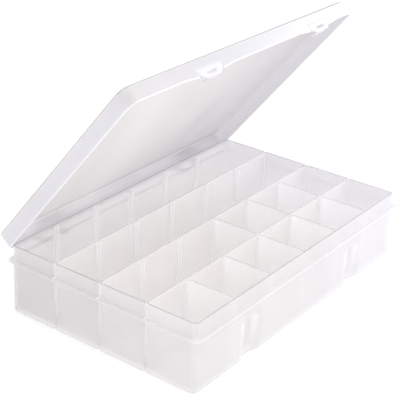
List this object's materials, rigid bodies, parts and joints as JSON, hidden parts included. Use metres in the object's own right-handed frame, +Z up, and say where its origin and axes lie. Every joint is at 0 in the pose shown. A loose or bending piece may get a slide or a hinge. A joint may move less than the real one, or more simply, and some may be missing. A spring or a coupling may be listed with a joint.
{
  "type": "compartment sorting tray",
  "caption": "Shallow translucent plastic parts box with rows of compartments, lift-out cross dividers and a hinged lid with snap latches.",
  "frame": {"origin": "centre of the tray's footprint, on the underside of the floor", "axes": "+X along the long side, +Y towards the hinge side, +Z up; the lid stands open by 51 degrees at rest"},
  "size_m": [0.2822, 0.1932, 0.2094],
  "materials": {
    "tray_plastic": "milky translucent polypropylene, satin",
    "divider_plastic": "milky translucent polypropylene, satin",
    "lid_plastic": "milky translucent polypropylene, satin, slightly cool",
    "pin_steel": "drawn wire"
  },
  "bodies": {
    "tray": {"tray_shell": "tray_plastic", "partition_front": "tray_plastic", "partition_middle": "tray_plastic", "partition_rear": "tray_plastic", "hinge_pin_left": "pin_steel", "hinge_pin_right": "pin_steel"},
    "lid": {"lid": "lid_plastic"},
    "latch_left": {"latch_left": "lid_plastic"},
    "latch_right": {"latch_right": "lid_plastic"},
    "divider_front_1": {"divider_front_1": "divider_plastic"},
    "divider_front_2": {"divider_front_2": "divider_plastic"},
    "divider_front_3": {"divider_front_3": "divider_plastic"},
    "divider_front_4": {"divider_front_4": "divider_plastic"},
    "divider_front_5": {"divider_front_5": "divider_plastic"},
    "divider_second_3": {"divider_second_3": "divider_plastic"},
    "divider_second_4": {"divider_second_4": "divider_plastic"},
    "divider_second_5": {"divider_second_5": "divider_plastic"}
  },
  "joints": [
    {"name": "lid_hinge", "type": "hinge", "parent": "tray", "child": "lid", "pos_m": [0, 0.0995, 0.054], "axis": [-1, 0, 0], "range_deg": [-51, 59]},
    {"name": "latch_left_flex", "type": "hinge", "parent": "lid", "child": "latch_left", "pos_m": [-0.055, -0.02777, 0.20417], "axis": [-1, 0, 0], "range_deg": [0, 8], "stiffness_Nm_per_rad": 0.3},
    {"name": "latch_right_flex", "type": "hinge", "parent": "lid", "child": "latch_right", "pos_m": [0.087, -0.02777, 0.20417], "axis": [-1, 0, 0], "range_deg": [0, 8], "stiffness_Nm_per_rad": 0.3},
    {"name": "divider_front_1_lift", "type": "slide", "parent": "tray", "child": "divider_front_1", "axis": [0, 0, 1], "range_m": [0, 0.055]},
    {"name": "divider_front_2_lift", "type": "slide", "parent": "tray", "child": "divider_front_2", "axis": [0, 0, 1], "range_m": [0, 0.055]},
    {"name": "divider_front_3_lift", "type": "slide", "parent": "tray", "child": "divider_front_3", "axis": [0, 0, 1], "range_m": [0, 0.055]},
    {"name": "divider_front_4_lift", "type": "slide", "parent": "tray", "child": "divider_front_4", "axis": [0, 0, 1], "range_m": [0, 0.055]},
    {"name": "divider_front_5_lift", "type": "slide", "parent": "tray", "child": "divider_front_5", "axis": [0, 0, 1], "range_m": [0, 0.055]},
    {"name": "divider_second_3_lift", "type": "slide", "parent": "tray", "child": "divider_second_3", "axis": [0, 0, 1], "range_m": [0, 0.055]},
    {"name": "divider_second_4_lift", "type": "slide", "parent": "tray", "child": "divider_second_4", "axis": [0, 0, 1], "range_m": [0, 0.055]},
    {"name": "divider_second_5_lift", "type": "slide", "parent": "tray", "child": "divider_second_5", "axis": [0, 0, 1], "range_m": [0, 0.055]}
  ]
}
